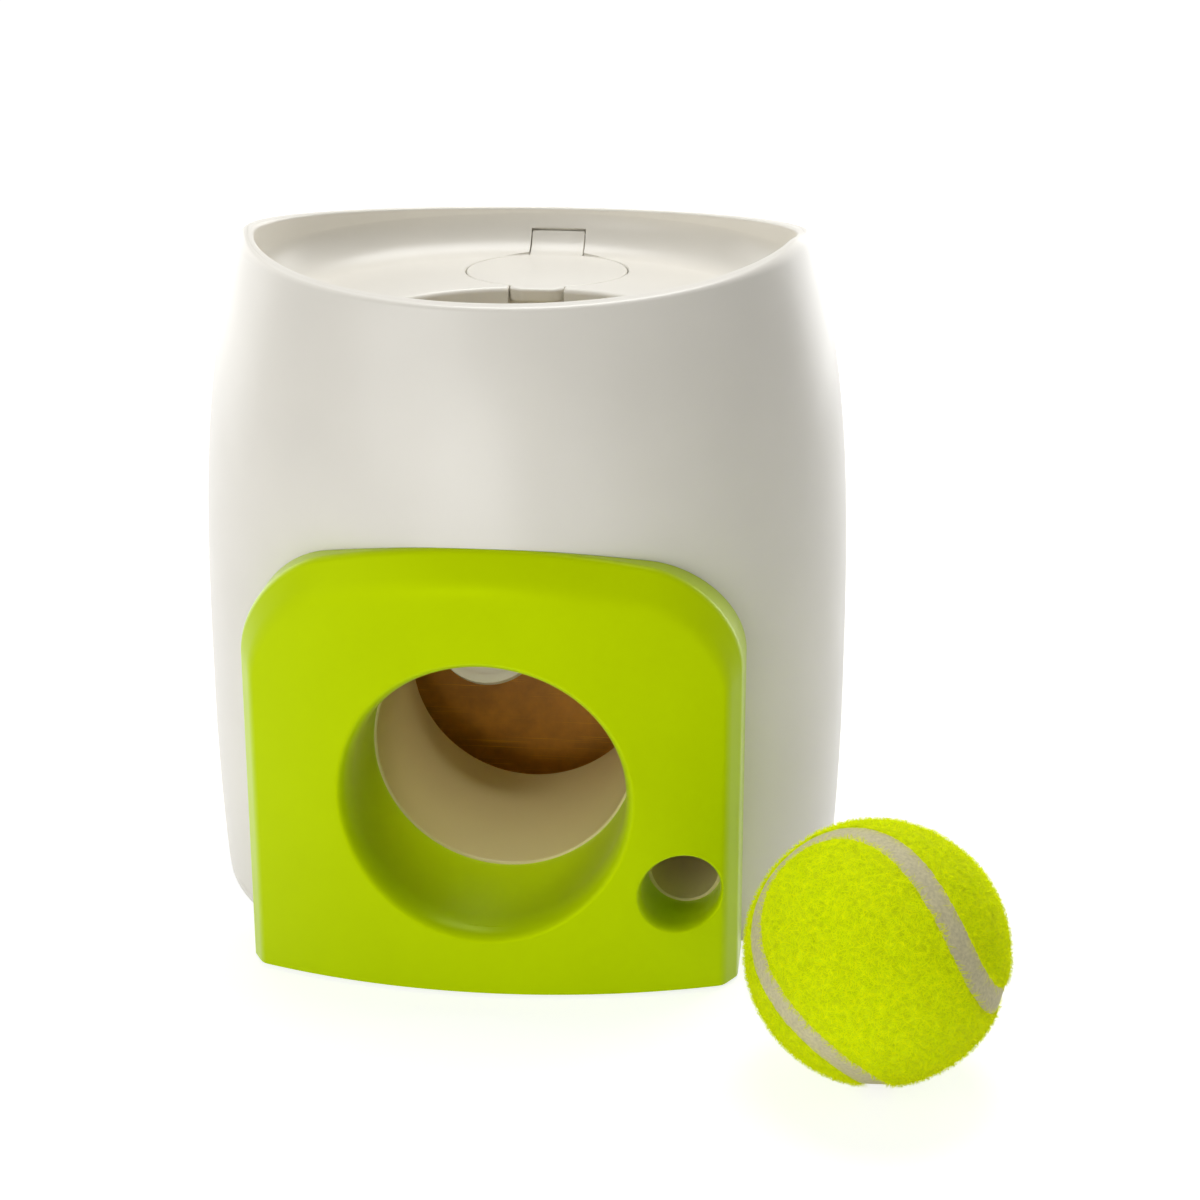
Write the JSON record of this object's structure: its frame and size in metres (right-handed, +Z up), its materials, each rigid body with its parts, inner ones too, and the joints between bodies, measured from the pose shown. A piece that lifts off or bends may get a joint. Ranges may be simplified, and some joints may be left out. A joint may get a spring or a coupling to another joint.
{
  "type": "dog treat dispenser",
  "caption": "Ball-worked pet treat dispenser: a barrel body with a bowl that takes the ball, a lidded treat bin, a ball tunnel and a geared dosing drum behind a front panel, with its ball.",
  "frame": {"origin": "on the floor, under the axis of the barrel", "axes": "+Z up, the front panel faces -Y, +X to the right seen from behind the panel, where the treat hole is"},
  "size_m": [0.223, 0.2445, 0.186],
  "materials": {
    "white_plastic": "moulded, satin gloss",
    "lime_plastic": "moulded, gloss",
    "brown_plastic": "moulded, matt",
    "gear_plastic": "moulded acetal",
    "steel": "drawn and turned",
    "foot_rubber": "moulded, matt",
    "core_rubber": "moulded, matt",
    "felt": "woven felt with a raised nap",
    "seam_rubber": "cured adhesive, matt"
  },
  "bodies": {
    "housing": {"body_shell": "white_plastic", "top_tray": "white_plastic", "hatch_pin": "steel", "front_panel": "lime_plastic", "base_plate": "white_plastic", "foot_ring": "foot_rubber", "base_screws": "steel", "drop_tube": "white_plastic", "ball_tunnel": "white_plastic", "treat_chute": "white_plastic", "hopper": "white_plastic", "hopper_screws": "steel", "mechanism_frame": "brown_plastic", "frame_screws": "steel", "pivot_bushes": "gear_plastic"},
    "hatch": {"hatch_lid": "white_plastic"},
    "trigger": {"trigger_paddle": "white_plastic", "paddle_shaft": "steel", "shaft_collar": "steel", "sector_gear": "gear_plastic", "return_weight": "steel"},
    "doser": {"dose_drum": "lime_plastic", "drum_axle": "steel", "drum_pinion": "gear_plastic", "axle_collar": "steel"},
    "ball": {"ball_core": "core_rubber", "ball_felt": "felt", "ball_seam": "seam_rubber"}
  },
  "joints": [
    {"name": "hatch_hinge", "type": "hinge", "parent": "housing", "child": "hatch", "pos_m": [0, 0.07514, 0.168], "axis": [-1, 0, 0], "range_deg": [0, 95]},
    {"name": "trigger_swing", "type": "hinge", "parent": "housing", "child": "trigger", "pos_m": [0, 0.024, 0.104], "axis": [1, 0, 0], "range_deg": [0, 26]},
    {"name": "doser_turn", "type": "hinge", "parent": "housing", "child": "doser", "pos_m": [0, 0.04987, 0.08256], "axis": [1, 0, 0], "range_deg": [-130, 0]},
    {"name": "ball_roll", "type": "slide", "parent": "housing", "child": "ball", "axis": [0, -1, 0], "range_m": [0, 0.15]}
  ],
  "couplings": [
    {"joint": "doser_turn", "follows": "trigger_swing", "ratio": -5}
  ]
}
